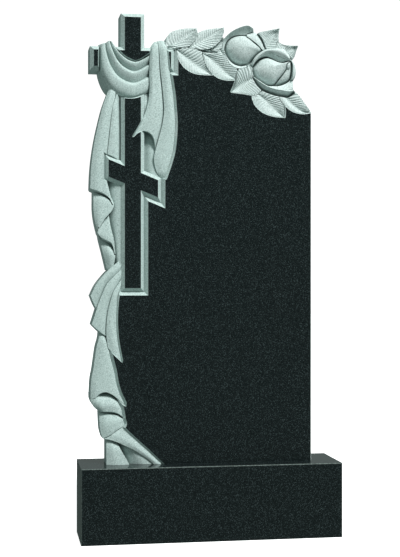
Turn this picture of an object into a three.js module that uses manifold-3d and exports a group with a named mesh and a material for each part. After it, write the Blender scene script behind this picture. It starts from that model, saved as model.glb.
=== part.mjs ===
// A carved granite headstone on a plinth. The left side of the stone is an Orthodox cross hung with a
// long cloth, and a spray of leaves with two rosebuds lies along the top.
// Millimetres, +Z up. The origin is the middle of the plinth's underside, and the polished face looks to -Y.

import * as THREE from 'three';
import Module from 'manifold-3d';

const wasm = await Module();
wasm.setup();

// Plinth
const plinthLength = 700;
const plinthDepth = 190;
const plinthHeight = 200;
const plinthArris = 2;

// Stone
const stoneHeight = 1200;
const footWidth = 555;
const stoneThickness = 80;
const shoulderHeight = 945;
const stoneArris = 1;
const seatGap = 0.3;

// Cross, as shares of the stone's width and height
const postWidth = 0.0775 * footWidth;
const postMiddle = -0.3775 * footWidth;
const postFoot = 0.3912 * stoneHeight;
const armLength = 0.3712 * footWidth;
const armMiddle = -0.3784 * footWidth;
const armHeight = 0.8992 * stoneHeight;
const armThickness = 0.0362 * stoneHeight;
const barLength = 0.2378 * footWidth;
const barMiddle = -0.3748 * footWidth;
const barHeight = 0.6342 * stoneHeight;
const barThickness = 0.0383 * stoneHeight;
const barSlope = 22.2;
const bevelWidth = 10;
const bevelDepth = 10;
const crossGroove = 10;

// Carving
const groundDepth = 30;
const clothGroove = 6;
const swagGroove = 4;
const leafGroove = 3;
const clothSteps = 2;
const swagSteps = 4;
const domeSides = 24;
const domeRings = 6;

// The width, depth of ground and height that the carving is drawn on. It stretches with the real stone.
const drawnStone = new THREE.Vector3(555, 30, 1200);
const wide = footWidth / drawnStone.x;
const deeper = groundDepth / drawnStone.y;
const tall = stoneHeight / drawnStone.z;

const faceY = -stoneThickness / 2;
const backY = stoneThickness / 2;
const footZ = plinthHeight + seatGap;
const overlap = 0.5;
const clearance = 1;

// A point of the carving: across from the middle, up from the foot, and deep behind the polished face.
const place = ([across, up, deep = 0]) =>
  new THREE.Vector3(across * wide, faceY + deep * deeper, footZ + up * tall);

// A point of the polished face itself, in real millimetres.
const onFace = ([across, up]) => new THREE.Vector3(across, faceY, footZ + up);

// Outward directions at the corners of a closed loop, in the plane of the polished face. With mitre set,
// they are lengthened so that the edges between them keep an even distance.
function outwardAt(loop, mitre) {
  const edges = loop.map((point, i) => {
    const next = loop[(i + 1) % loop.length];
    return new THREE.Vector2(next.z - point.z, point.x - next.x).normalize();
  });
  return loop.map((_, i) => {
    const before = edges[(i + loop.length - 1) % loop.length];
    const sum = before.clone().add(edges[i]).normalize();
    return mitre ? sum.divideScalar(sum.dot(before)) : sum;
  });
}

// Closes a carved face into a solid. The loop around the face is carried through a ring of walls for each
// step, and the last step lies in the plane of the flat back.
function closeBehind({ points, faces, loop }, steps, mitre = false) {
  const vertices = points.map((point) => point.clone());
  const triangles = faces.map((face) => [...face]);
  const rim = loop.map((index) => points[index]);
  const outward = outwardAt(rim, mitre);
  let ring = loop;
  for (const { out, y } of steps) {
    const start = vertices.length;
    const nextRing = rim.map((point, i) => {
      const depth = y(point);
      vertices.push(new THREE.Vector3(point.x + outward[i].x * out, depth, point.z + outward[i].y * out));
      return start + i;
    });
    ring.forEach((corner, i) => {
      const j = (i + 1) % ring.length;
      triangles.push([corner, nextRing[i], nextRing[j]], [corner, nextRing[j], ring[j]]);
    });
    ring = nextRing;
  }
  const back = new Map(loop.map((index, i) => [index, ring[i]]));
  const flatY = vertices[ring[0]].y;
  points.forEach((point, index) => {
    if (!back.has(index)) {
      back.set(index, vertices.length);
      vertices.push(new THREE.Vector3(point.x, flatY, point.z));
    }
  });
  faces.forEach(([a, b, c]) => triangles.push([back.get(a), back.get(c), back.get(b)]));
  return new wasm.Manifold(new wasm.Mesh({
    numProp: 3,
    vertProperties: new Float32Array(vertices.flatMap((vertex) => vertex.toArray())),
    triVerts: new Uint32Array(triangles.flat()),
  }));
}

// The relief stands on its face and runs straight back through the stone.
const reliefSolid = (face) => closeBehind(face, [
  { out: overlap, y: (point) => point.y + overlap },
  { out: overlap, y: () => backY + clearance },
  { out: 0, y: () => backY + clearance },
]);

// The groove that sets a relief off from a polished face: a bevel of the given width down to the relief.
function grooveAround(face, width, mitre = false) {
  const flat = face.points.map((point) => point.clone().setY(faceY - clearance));
  return closeBehind({ ...face, points: flat }, [
    { out: width + clearance, y: () => faceY - clearance },
    { out: 0, y: () => faceY + width },
    { out: 0, y: () => faceY + groundDepth },
  ], mitre);
}

// Joins a net of rows into triangles, welds the points that meet, and walks the loop around it.
function weave(rows) {
  const points = [];
  const known = new Map();
  const index = rows.map((row) => row.map((point) => {
    const key = point.toArray().map((value) => value.toFixed(3)).join();
    if (!known.has(key)) {
      known.set(key, points.length);
      points.push(point);
    }
    return known.get(key);
  }));
  const faces = [];
  const addFace = (...face) => {
    if (new Set(face).size === face.length) {
      faces.push(face);
    }
  };
  for (let i = 1; i < rows.length; i += 1) {
    for (let j = 1; j < rows[i].length; j += 1) {
      const [a, b, c, d] = [index[i - 1][j - 1], index[i - 1][j], index[i][j], index[i][j - 1]];
      if (points[a].distanceTo(points[c]) < points[b].distanceTo(points[d])) {
        addFace(a, b, c);
        addFace(a, c, d);
      } else {
        addFace(a, b, d);
        addFace(b, c, d);
      }
    }
  }
  const last = rows[0].length - 1;
  const around = [
    ...index[0],
    ...index.slice(1).map((row) => row[last]),
    ...index[index.length - 1].slice(0, last).reverse(),
    ...index.slice(1, -1).map((row) => row[0]).reverse(),
  ];
  const loop = around.filter((corner, i) => corner !== around[(i + 1) % around.length]);
  return facingFront({ points, faces, loop });
}

// Turns a face round where its loop runs clockwise as seen from the front.
function facingFront({ points, faces, loop }) {
  const area = loop.reduce((sum, corner, i) => {
    const [a, b] = [points[corner], points[loop[(i + 1) % loop.length]]];
    return sum + a.x * b.z - b.x * a.z;
  }, 0);
  if (area > 0) {
    return { points, faces, loop };
  }
  return { points, faces: faces.map(([a, b, c]) => [a, c, b]), loop: [...loop].reverse() };
}

// The swell of a fold from one crease to the next, with its crest at a share of the way across.
function swell(share, crest) {
  if (share < crest) {
    return Math.sin(Math.PI / 2 * share / crest);
  }
  return Math.cos(Math.PI / 2 * (share - crest) / (1 - crest));
}

// Cloth or leaf between rails. Each rail is a smooth curve through its stations, and each pair of rails
// may hold a fold that swells out by its rise. Steps is the number of faces from one rail to the next.
function sheet(rails, { folds = [], lip = [], steps = clothSteps } = {}) {
  const curves = rails.map((stations) => new THREE.CatmullRomCurve3(stations.map(place)));
  const along = (rails[0].length - 1) * steps;
  const across = (rails.length - 1) * steps;
  const rows = [];
  for (let i = 0; i <= along; i += 1) {
    const stations = curves.map((curve) => curve.getPoint(i / along));
    const section = new THREE.CatmullRomCurve3(stations);
    const row = [];
    for (let j = 0; j <= across; j += 1) {
      const point = section.getPoint(j / across);
      const band = Math.min(Math.floor(j / steps), rails.length - 2);
      if (folds[band]) {
        const { rise, crest = 0.5 } = folds[band];
        const room = stations[band].distanceTo(stations[band + 1]) / 2;
        point.y -= Math.min(rise * deeper, room) * swell(j / steps - band, crest);
      }
      row.push(point);
    }
    rows.push(row);
  }
  if (lip.length) {
    rows.push(lipBelow(rows[rows.length - 1], lip));
  }
  return weave(rows);
}

// The rolled edge of a hem: its last row set over by an offset that changes evenly from rail to rail.
function lipBelow(row, offsets) {
  return row.map((point, j) => {
    const spot = j / (row.length - 1) * (offsets.length - 1);
    const start = Math.min(Math.floor(spot), offsets.length - 2);
    const [from, to] = [offsets[start], offsets[start + 1]];
    const [across, up, deep] = from.map((value, k) => value + (to[k] - value) * (spot - start));
    return new THREE.Vector3(point.x + across * wide, point.y + deep * deeper, point.z + up * tall);
  });
}

// A rounded body such as a bud: a closed outline with a dome that rises to its crest.
function dome(outline, crest) {
  const rim = new THREE.CatmullRomCurve3(outline.map(place), true);
  const top = place(crest);
  const points = [top];
  const faces = [];
  for (let ring = 1; ring <= domeRings; ring += 1) {
    const share = Math.sin(Math.PI / 2 * ring / domeRings);
    for (let side = 0; side < domeSides; side += 1) {
      const edge = rim.getPoint(side / domeSides);
      const point = top.clone().lerp(edge, share);
      point.y = edge.y + (top.y - edge.y) * Math.cos(Math.PI / 2 * ring / domeRings);
      points.push(point);
      const next = (side + 1) % domeSides;
      const [outer, outerNext] = [(ring - 1) * domeSides + side + 1, (ring - 1) * domeSides + next + 1];
      if (ring === 1) {
        faces.push([0, outer, outerNext]);
      } else {
        const [inner, innerNext] = [outer - domeSides, outerNext - domeSides];
        faces.push([inner, outer, outerNext], [inner, outerNext, innerNext]);
      }
    }
  }
  const loop = Array.from({ length: domeSides }, (_, side) => (domeRings - 1) * domeSides + side + 1);
  return facingFront({ points, faces, loop });
}

// A flat face with straight edges.
function panel(points) {
  const outline = points.map((point) => new THREE.Vector2(point.x, point.z));
  const faces = THREE.ShapeUtils.triangulateShape(outline, []);
  return facingFront({ points, faces, loop: points.map((_, i) => i) });
}

// A block with a flat face and a bevel all round it.
const bevelled = (points, width, depth) => closeBehind(panel(points), [
  { out: width, y: () => faceY + depth },
  { out: width, y: () => backY + clearance },
  { out: 0, y: () => backY + clearance },
], true);

// The four corners of a bar whose ends are upright, with its middle line falling to the right by the slope.
function barCorners(middle, height, length, thickness, slope) {
  const drop = Math.tan(THREE.MathUtils.degToRad(slope)) * length / 2;
  const [left, right, half] = [middle - length / 2, middle + length / 2, thickness / 2];
  return [[left, height + drop - half], [right, height - drop - half],
    [right, height - drop + half], [left, height + drop + half]].map(onFace);
}

const postTop = stoneHeight - bevelWidth;
const postCorners = barCorners(postMiddle, (postTop + postFoot) / 2, postWidth, postTop - postFoot, 0);
const armCorners = barCorners(armMiddle, armHeight, armLength, armThickness, 0);
const footBarCorners = barCorners(barMiddle, barHeight, barLength, barThickness, barSlope);

// The cloth where it hangs over the level arm, in three folds that lap over each other.
function swag() {
  const folds = [{ rise: 8, crest: 0.28 }, { rise: 8, crest: 0.28 }, { rise: 9, crest: 0.3 }];
  return sheet([
    [[-263, 1123, 15], [-251, 1105, 9], [-239, 1091, 8], [-222, 1079, 8], [-200, 1074, 8], [-152, 1103, 20]],
    [[-270, 1127, 17], [-262, 1102, 10], [-249, 1076, 9], [-231, 1058, 9], [-204, 1048, 9], [-152, 1078, 21]],
    [[-281, 1121, 17], [-278, 1095, 11], [-265, 1058, 10], [-244, 1031, 10], [-207, 1017, 10],
      [-152, 1046, 22]],
    [[-298, 1116, 18], [-298, 1085, 14], [-291, 1042, 14], [-268, 1000, 14], [-212, 981, 13],
      [-152, 1008, 24]],
  ], { folds, steps: swagSteps });
}

// The end of the cloth that hangs to the right of the post, with its hem curled up over the post.
function rightFall() {
  return [
    sheet([
      [[-162, 1110, 14], [-165, 1094, 6], [-166, 1040, 6], [-168, 985, 6], [-182, 922, 6], [-211, 876, 5]],
      [[-154, 1124, 13], [-155, 1106, 2], [-155, 1050, 1], [-154, 985, 1], [-164, 925, 1], [-184, 891, 3]],
      [[-146, 1129, 14], [-146, 1110, 4], [-143, 1050, 3], [-138, 985, 3], [-142, 925, 3], [-159, 880, 4]],
      [[-139, 1130, 15], [-138, 1112, 9], [-132, 1050, 9], [-125, 985, 9], [-128, 922, 9], [-149, 849, 12]],
    ]),
    sheet([
      [[-141, 1130, 15], [-139, 1112, 9], [-133, 1055, 9], [-126, 990, 9], [-128, 920, 9], [-146, 850, 10],
        [-151, 805, 9], [-142, 769, 10]],
      [[-129, 1131, 13], [-127, 1114, 2], [-122, 1060, 1], [-113, 990, 1], [-111, 920, 1], [-121, 850, 1],
        [-131, 803, 2], [-133, 769, 8]],
      [[-118, 1127, 15], [-116, 1110, 7], [-110, 1050, 7], [-101, 990, 7], [-97, 920, 7], [-101, 850, 7],
        [-113, 797, 7], [-124, 768, 8]],
    ]),
  ];
}

// The far layer of the cloth, seen in the hollow under the curled hem.
const rightLining = () => sheet([
  [[-181, 893, 18], [-181, 850, 13], [-180, 760, 9]],
  [[-163, 893, 18], [-162, 850, 10], [-158, 760, 7]],
  [[-144, 880, 18], [-144, 840, 12], [-138, 755, 10]],
]);

// The end of the cloth that hangs down the left side, in front of the far strip, as far as the cascade.
function leftFall() {
  return [
    sheet([
      [[-256, 1030, 26], [-270, 990, 16], [-280, 960, 10], [-293.5, 915, 9], [-307.5, 850, 9],
        [-316, 790, 9], [-318, 762, 9], [-319, 748, 8], [-319.5, 738, 8]],
      [[-252, 1030, 24], [-264, 990, 13], [-272, 960, 4], [-282, 915, 2], [-292, 850, 2],
        [-302, 792, 2], [-303, 760, 2], [-297, 743, 2], [-291, 728, 4]],
      [[-248, 1030, 26], [-256, 990, 18], [-262, 960, 11], [-269, 915, 11], [-276, 850, 11],
        [-285, 792, 11], [-285, 760, 8], [-271, 733, 5], [-266, 698, 6]],
    ], { lip: [[2, -11, 14], [4, -11, 14], [1, -2, 4]] }),
    sheet([
      [[-252, 1030, 26], [-261, 967, 12], [-270, 915, 11], [-277, 850, 11], [-284, 795, 12]],
      [[-248, 1030, 26], [-254, 967, 9], [-258, 915, 5], [-261, 850, 6], [-264, 800, 13]],
      [[-246, 1030, 28], [-247.5, 967, 16], [-247.5, 915, 14], [-247.5, 850, 14], [-247.5, 795, 16]],
      [[-240, 1030, 28], [-240, 967, 20], [-240, 915, 20], [-240, 850, 20], [-240, 795, 20]],
    ]),
    sheet([
      [[-294, 775, 18], [-282, 660, 18], [-268, 560, 16], [-262, 530, 16]],
      [[-262, 775, 10], [-259, 660, 9], [-252, 560, 9], [-250, 530, 9]],
      [[-241, 770, 12], [-241, 660, 12], [-241, 560, 12], [-241, 530, 12]],
    ]),
  ];
}

// The edge of the cloth turns back and forth below the foot bar: three layers over a dark hollow.
function cascade() {
  return [
    sheet([
      [[-312, 735, 24], [-309, 705, 16], [-309, 680, 13], [-307, 650, 12], [-301, 622, 11]],
      [[-290, 728, 22], [-286, 702, 9], [-289, 677, 4], [-297, 652, 5], [-299, 630, 8]],
      [[-266, 712, 16], [-262, 690, 8], [-269, 671, 5], [-284, 655, 5], [-298, 637, 6]],
    ]),
    sheet([
      [[-300, 648, 16], [-301, 632, 9], [-297, 609, 6]],
      [[-286, 656, 15], [-285, 630, 6], [-275, 599, 5]],
      [[-270, 664, 14], [-267, 632, 8], [-256, 567, 7]],
    ], { lip: [[3, -9, 15], [5, -12, 17], [-2, -6, 8]] }),
    sheet([
      [[-301, 624, 22], [-295, 603, 22], [-286, 571, 20], [-279, 547, 19], [-268, 515, 18]],
      [[-285, 620, 28], [-279, 600, 27], [-272, 572, 14], [-268, 548, 12], [-262, 515, 14]],
      [[-262, 610, 28], [-259, 592, 27], [-257, 568, 22], [-256, 548, 17], [-254, 515, 16]],
    ]),
  ];
}

// The middle of the cloth, which fans out from the foot of the post in three folds.
function fan() {
  return [
    sheet([
      [[-242, 549, 12], [-269, 520, 9], [-295, 485, 8], [-319, 450, 7]],
      [[-242, 536, 7], [-264, 511, 3], [-288, 477, 2], [-311, 433, 4]],
      [[-242, 521, 12], [-261, 501, 11], [-281, 468, 11], [-301, 413, 10]],
    ], { lip: [[1, -3, 8], [3, -4, 10], [3, -4, 8]] }),
    sheet([
      [[-242, 523, 13], [-262, 500, 11], [-281, 468, 11], [-297, 430, 10], [-305, 397, 8], [-314, 375, 7]],
      [[-242, 509, 8], [-259, 483, 3], [-275, 450, 2], [-286, 415, 2], [-292, 382, 2], [-294, 359, 4]],
      [[-242, 490, 13], [-256, 464, 11], [-267, 435, 11], [-274, 405, 11], [-279, 370, 11], [-277, 342, 10]],
    ], { lip: [[1, -4, 9], [3, -8, 13], [3, -5, 9]] }),
    sheet([
      [[-242, 492, 13], [-259, 458, 11], [-271, 417, 11], [-278, 378, 11], [-280, 343, 9], [-276, 312, 6]],
      [[-242, 485, 8], [-253, 450, 3], [-262, 411, 1], [-266, 371, 1], [-265, 333, 2], [-259, 294, 4]],
      [[-242, 475, 9], [-249, 443, 7], [-252, 405, 6], [-252, 365, 6], [-248, 325, 6], [-239, 274, 6]],
    ]),
  ];
}

// The lower cloth: a long fold, a rounded roll that comes out of it, and a cuff.
function lowerFall() {
  return [
    sheet([
      [[-293, 362, 22], [-295, 330, 10], [-303, 280, 9], [-312, 230, 9], [-318, 195, 9], [-314, 176, 9]],
      [[-286, 358, 20], [-286, 330, 5], [-288, 280, 2], [-291, 230, 1], [-290, 205, 1], [-286, 194, 2]],
      [[-281, 350, 20], [-279, 322, 8], [-276, 280, 7], [-268, 230, 6], [-263, 200, 5], [-258, 182, 5]],
      [[-278, 345, 20], [-275, 318, 9], [-272, 280, 8], [-262, 230, 8], [-250, 196, 7], [-233, 160, 5]],
    ]),
    sheet([
      [[-316, 192, 19], [-315.5, 172, 13], [-306, 157, 10], [-295, 147, 9]],
      [[-287, 194, 24], [-288, 177, 9], [-281, 160, 2], [-270, 146, 3]],
      [[-254, 186, 20], [-249, 168, 9], [-243, 150, 6], [-240, 130, 6]],
    ], { lip: [[1, -6, 13], [0, -10, 16], [0, -6, 9]] }),
    sheet([
      [[-293, 150, 22], [-292, 118, 13], [-290.5, 90, 12], [-281, 71, 9]],
      [[-268, 146, 20], [-266, 120, 5], [-263, 98, 5], [-261, 89, 7]],
      [[-240, 136, 16], [-237, 121, 8], [-235, 112, 8], [-234, 107, 8]],
    ]),
  ];
}

// The foot of the cloth spreads to the right over the base of the stone.
function footFall() {
  return [
    sheet([
      [[-286, 80, 18], [-281, 70, 10], [-250, 61, 11], [-215, 46, 11], [-180, 23, 10], [-147, -5, 10]],
      [[-267, 97, 18], [-260, 86, 7], [-232, 74, 2], [-198, 51, 2], [-168, 24, 2], [-138, -5, 2]],
      [[-246, 112, 18], [-236, 106, 7], [-211, 80, 6], [-181, 51, 6], [-151, 23, 6], [-122, -5, 6]],
    ]),
    sheet([
      [[-275, 72, 18], [-275, 45, 11], [-275, 20, 9], [-275, -5, 9]],
      [[-266, 68, 17], [-262, 45, 6], [-255, 20, 3], [-247, -5, 2]],
      [[-254, 62, 18], [-243, 42, 11], [-229, 20, 10], [-213, -5, 10]],
    ]),
    sheet([
      [[-256, 64, 18], [-244, 45, 13], [-230, 22, 13], [-214, -5, 13]],
      [[-252, 66, 18], [-226, 49, 11], [-203, 24, 6], [-178, -5, 4]],
      [[-250, 68, 18], [-205, 48, 14], [-178, 28, 10], [-144, -5, 10]],
    ]),
  ];
}

// A leaf from base to tip: its two edges and its rib, which lies lower than the edges.
function leaf(base, tip, oneEdge, rib, otherEdge, { edge = 4, ribDepth = 9, end = 4 } = {}) {
  const railOf = (stations, deep) => [
    [...base, ribDepth],
    ...stations.map((point) => [...point, deep]),
    [...tip, end],
  ];
  return sheet([railOf(oneEdge, edge), railOf(rib, ribDepth), railOf(otherEdge, edge)],
    { folds: [{ rise: 3 }, { rise: 3 }] });
}

// The leaves that border on the polished face.
function lowerLeaves() {
  return [
    leaf([-93, 1113], [-3, 1047], [[-87, 1084], [-69, 1061], [-38, 1047]],
      [[-74, 1096], [-51, 1074], [-28, 1057]], [[-60, 1113], [-24, 1106], [-15, 1076]]),
    leaf([-22, 1103], [72, 1033], [[-15, 1072], [9, 1043], [43, 1031]],
      [[0, 1090], [26, 1064], [50, 1046]], [[14, 1100], [52, 1088], [68, 1062]]),
    leaf([121, 1043], [54, 998], [[116, 1066], [90, 1078], [69, 1048]],
      [[108, 1033], [94, 1024], [76, 1011]], [[134, 1028], [139, 1006], [96, 995]]),
    leaf([125, 999], [204, 934], [[115, 985], [126, 961], [161, 942]],
      [[141, 989], [160, 970], [182, 951]], [[150, 1003], [193, 995], [201, 960]]),
    leaf([192, 1003], [279, 948], [[199, 968], [224, 949], [254, 944]],
      [[214, 985], [236, 965], [259, 953]], [[226, 1010], [250, 990], [268, 963]]),
  ];
}

// The leaves that stand clear along the top.
function upperLeaves() {
  return [
    leaf([-118, 1113], [-37, 1168], [[-119, 1131], [-111, 1152], [-80, 1163]],
      [[-104, 1121], [-82, 1138], [-60, 1153]], [[-90, 1113], [-56, 1118], [-41, 1142]]),
    leaf([-62, 1115], [37, 1172], [[-51, 1128], [-34, 1158], [4, 1167]],
      [[-38, 1124], [-8, 1141], [15, 1157]], [[-30, 1113], [9, 1120], [30, 1146]]),
    leaf([150, 1108], [191, 1174], [[136, 1128], [130, 1157], [158, 1167]],
      [[158, 1128], [169, 1146], [180, 1161]], [[178, 1112], [189, 1132], [189, 1155]],
      { edge: 9, ribDepth: 13 }),
    leaf([196, 1104], [243, 1130], [[186, 1120], [194, 1138], [221, 1131]],
      [[208, 1110], [221, 1117], [233, 1124]], [[214, 1092], [231, 1093], [238, 1112]],
      { edge: 10, ribDepth: 14 }),
    leaf([-14, 1109], [50, 1093], [[4, 1110], [22, 1107], [38, 1101]],
      [[4, 1104], [20, 1101], [36, 1097]], [[4, 1099], [20, 1094], [36, 1091]], { edge: 12, ribDepth: 14 }),
    leaf([16, 1120], [50, 1148], [[14, 1132], [24, 1146], [38, 1149]],
      [[24, 1128], [34, 1137], [42, 1143]], [[32, 1110], [46, 1118], [54, 1134]], { edge: 14, ribDepth: 17 }),
    leaf([28, 1086], [50, 1120], [[26, 1096], [32, 1108], [40, 1115]],
      [[34, 1094], [40, 1103], [45, 1111]], [[46, 1084], [54, 1094], [56, 1108]], { edge: 8, ribDepth: 11 }),
  ];
}

// The stem of the spray, which lies in the shadow between the leaves.
const stem = () => sheet([
  [[-114, 1115, 20], [-70, 1117, 18], [-15, 1116, 18], [45, 1106, 20]],
  [[-114, 1110, 20], [-70, 1108, 18], [-15, 1106, 18], [45, 1092, 20]],
], { folds: [{ rise: 5 }] });

// The first bud, its outer petals and the cup under it.
function firstBud() {
  return [
    dome([[149, 1117, 20], [128, 1139, 18], [102, 1153, 16], [73, 1152, 16], [50, 1137, 18], [42, 1114, 20],
      [54, 1089, 22], [74, 1076, 24], [98, 1075, 24], [122, 1087, 24]], [86, 1119, 0]),
    sheet([
      [[34, 1112, 12], [38, 1138, 9], [54, 1157, 6], [78, 1174, 4], [104, 1182, 4], [118, 1175, 6]],
      [[48, 1110, 24], [54, 1136, 23], [66, 1148, 21], [84, 1150, 20], [106, 1152, 18], [122, 1160, 14]],
    ], { folds: [{ rise: -3 }] }),
    sheet([
      [[104, 1158, 20], [124, 1163, 18], [139, 1150, 18], [154, 1120, 20]],
      [[100, 1146, 9], [118, 1139, 7], [132, 1126, 8], [146, 1108, 16]],
    ], { folds: [{ rise: 3 }] }),
    sheet([
      [[42, 1102, 14], [56, 1074, 9], [77, 1063, 9], [102, 1068, 12]],
      [[54, 1106, 26], [66, 1084, 26], [80, 1078, 26], [98, 1080, 26]],
    ]),
  ];
}

// The second bud with its inner petal, the petals around it and the long sepal under it.
function secondBud() {
  return [
    dome([[210, 1062, 12], [206, 1084, 10], [184, 1092, 10], [160, 1100, 14], [134, 1091, 18],
      [118, 1064, 20], [124, 1045, 22], [146, 1029, 22], [176, 1021, 22], [200, 1036, 18]], [160, 1064, 0]),
    dome([[227, 1060, 18], [223, 1088, 12], [196, 1088, 12], [172, 1072, 16], [170, 1044, 20],
      [186, 1026, 22], [216, 1036, 20]], [202, 1060, 5]),
    sheet([
      [[111, 1066, 10], [118, 1090, 5], [142, 1113, 3], [176, 1124, 3], [206, 1117, 5], [228, 1090, 8]],
      [[122, 1062, 22], [128, 1086, 22], [148, 1100, 20], [176, 1108, 18], [200, 1103, 18], [220, 1088, 16]],
    ]),
    sheet([
      [[126, 1092, 16], [150, 1108, 9], [180, 1112, 8], [206, 1104, 8], [224, 1090, 9]],
      [[140, 1086, 24], [156, 1096, 22], [180, 1090, 20], [202, 1084, 18], [216, 1080, 16]],
    ]),
    sheet([
      [[223, 1092, 6], [228, 1074, 4], [228, 1052, 4], [222, 1032, 8]],
      [[232, 1086, 18], [238, 1070, 18], [237, 1050, 18], [228, 1032, 18]],
    ], { folds: [{ rise: 3 }] }),
    sheet([
      [[172, 1030, 20], [200, 1036, 20], [228, 1040, 20]],
      [[172, 1010, 5], [200, 1010, 6], [229, 1010, 8]],
    ], { folds: [{ rise: 3 }] }),
    sheet([
      [[117, 1050, 10], [134, 1034, 7], [156, 1021, 6], [190, 1014, 6], [228, 1014, 8]],
      [[120, 1044, 9], [135, 1024, 3], [158, 1013, 1], [192, 1008, 1], [230, 1009, 5]],
      [[118, 1036, 18], [137, 1006, 16], [164, 1000, 15], [196, 992, 15], [228, 1001, 14]],
    ]),
  ];
}

// The polished part of the slab. Its left and upper borders run hidden under the carving.
const polishedField = () => bevelled([
  ...[[footWidth / 2 - stoneArris, -clearance], [footWidth / 2 - stoneArris, shoulderHeight]].map(onFace),
  ...[[262, 952], [215, 985], [150, 985], [118, 1012], [62, 1040], [0, 1064], [-40, 1078], [-80, 1100],
    [-92, 1116], [-130, 1114], [-135, 770], [-200, 740], [-205, 485], [-247, 485], [-262, 440], [-268, 330],
    [-282, 300], [-262, 200], [-262, 90], [-165, -clearance]].map(place),
], stoneArris, stoneArris);

// The ground behind the carving closes every hollow.
const ground = () => closeBehind(panel([
  [270, -clearance], [270, 935], [255, 962], [224, 1000], [226, 1100], [180, 1150], [100, 1165],
  [50, 1140], [20, 1160], [-100, 1150], [-160, 1105], [-290, 1105], [-285, 1050], [-258, 1000],
  [-285, 900], [-310, 750], [-290, 640], [-264, 530], [-300, 450], [-286, 350], [-310, 200],
  [-282, 90], [-268, 60], [-268, -clearance],
].map((corner) => place([...corner, drawnStone.y]))), [{ out: 0, y: () => backY + clearance }]);

// The blank that the stone is cut from: it gives the flat bed under the foot and the flat back.
function blank() {
  const [span, reach] = [2 * stoneHeight, stoneThickness + clearance];
  const box = new THREE.BoxGeometry(span, reach, span);
  return fromGeometry(box.translate(0, backY - reach / 2, footZ + span / 2));
}

// A closed three.js geometry as a solid that can be cut and joined.
function fromGeometry(geometry) {
  const places = [];
  const known = new Map();
  const position = geometry.getAttribute('position');
  const welded = Array.from({ length: position.count }, (_, i) => {
    const corner = new THREE.Vector3().fromBufferAttribute(position, i);
    const key = corner.toArray().join();
    if (!known.has(key)) {
      known.set(key, places.length);
      places.push(corner);
    }
    return known.get(key);
  });
  return new wasm.Manifold(new wasm.Mesh({
    numProp: 3,
    vertProperties: new Float32Array(places.flatMap((corner) => corner.toArray())),
    triVerts: new Uint32Array(Array.from(geometry.getIndex().array, (corner) => welded[corner])),
  }));
}

// A finished solid as a named mesh.
function toMesh(solid, name, material) {
  const { vertProperties, triVerts } = solid.getMesh();
  const geometry = new THREE.BufferGeometry();
  geometry.setAttribute('position', new THREE.BufferAttribute(vertProperties, 3));
  geometry.setIndex(new THREE.BufferAttribute(triVerts, 1));
  geometry.computeVertexNormals();
  const mesh = new THREE.Mesh(geometry, material);
  mesh.name = name;
  return mesh;
}

const joinAll = (solids) => solids.reduce((sum, solid) => sum.add(solid));

function stele() {
  const falls = rightFall();
  const spread = [...fan(), ...lowerFall(), ...footFall()];
  const leaves = lowerLeaves();
  const bars = [postCorners, armCorners, footBarCorners];
  const crossFaces = bars.map((corners) => bevelled(corners, bevelWidth, bevelDepth));
  const field = polishedField()
    .subtract(joinAll(bars.map((corners) => crossGrooveAround(corners))))
    .subtract(joinAll([...falls, ...spread].map((face) => grooveAround(face, clothGroove))))
    .subtract(joinAll(leaves.map((face) => grooveAround(face, leafGroove))));
  const postAndArm = joinAll(crossFaces.slice(0, 2))
    .subtract(joinAll(falls.map((face) => grooveAround(face, clothGroove))))
    .subtract(grooveAround(swag(), swagGroove));
  const carving = [swag(), ...falls, rightLining(), ...leftFall(), ...cascade(), ...spread,
    ...leaves, ...upperLeaves(), stem(), ...firstBud(), ...secondBud()];
  const stone = joinAll([field, postAndArm, crossFaces[2], ground(), ...carving.map(reliefSolid)])
    .intersect(blank());
  return toMesh(stone, 'stele', new THREE.MeshStandardMaterial({ color: 0xa9bdb4, roughness: 0.8 }));
}

// The second bevel of the groove that runs beside the cross where it borders on the field.
function crossGrooveAround(corners) {
  const face = panel(corners);
  const outward = outwardAt(face.loop.map((index) => face.points[index]), true);
  face.loop.forEach((index, i) => {
    face.points[index].x += outward[i].x * bevelWidth;
    face.points[index].z += outward[i].y * bevelWidth;
  });
  return grooveAround(face, crossGroove - overlap, true);
}

function plinth() {
  const profile = new THREE.Shape();
  const [x, z, cut] = [plinthLength / 2, plinthHeight / 2, plinthArris];
  profile.moveTo(-x + cut, -z + cut);
  profile.lineTo(x - cut, -z + cut);
  profile.lineTo(x - cut, z - cut);
  profile.lineTo(-x + cut, z - cut);
  const block = new THREE.ExtrudeGeometry(profile, {
    depth: plinthDepth - 2 * cut, bevelEnabled: true, bevelThickness: cut, bevelSize: cut, bevelSegments: 1,
  });
  block.translate(0, 0, cut - plinthDepth / 2);
  block.rotateX(Math.PI / 2);
  block.translate(0, 0, plinthHeight / 2);
  const mesh = new THREE.Mesh(block, new THREE.MeshStandardMaterial({ color: 0x1c2224, roughness: 0.15 }));
  mesh.name = 'plinth';
  return mesh;
}

const headstone = new THREE.Group();
headstone.add(stele(), plinth());

export default headstone;
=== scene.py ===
"""A granite headstone: an upright stone with an Orthodox cross, draped cloth, leaves and two rosebuds
carved out of it, on a polished plinth. The carving is drawn in millimetres: across, up from the stone's
foot, and deep behind the polished face."""

import math

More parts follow.
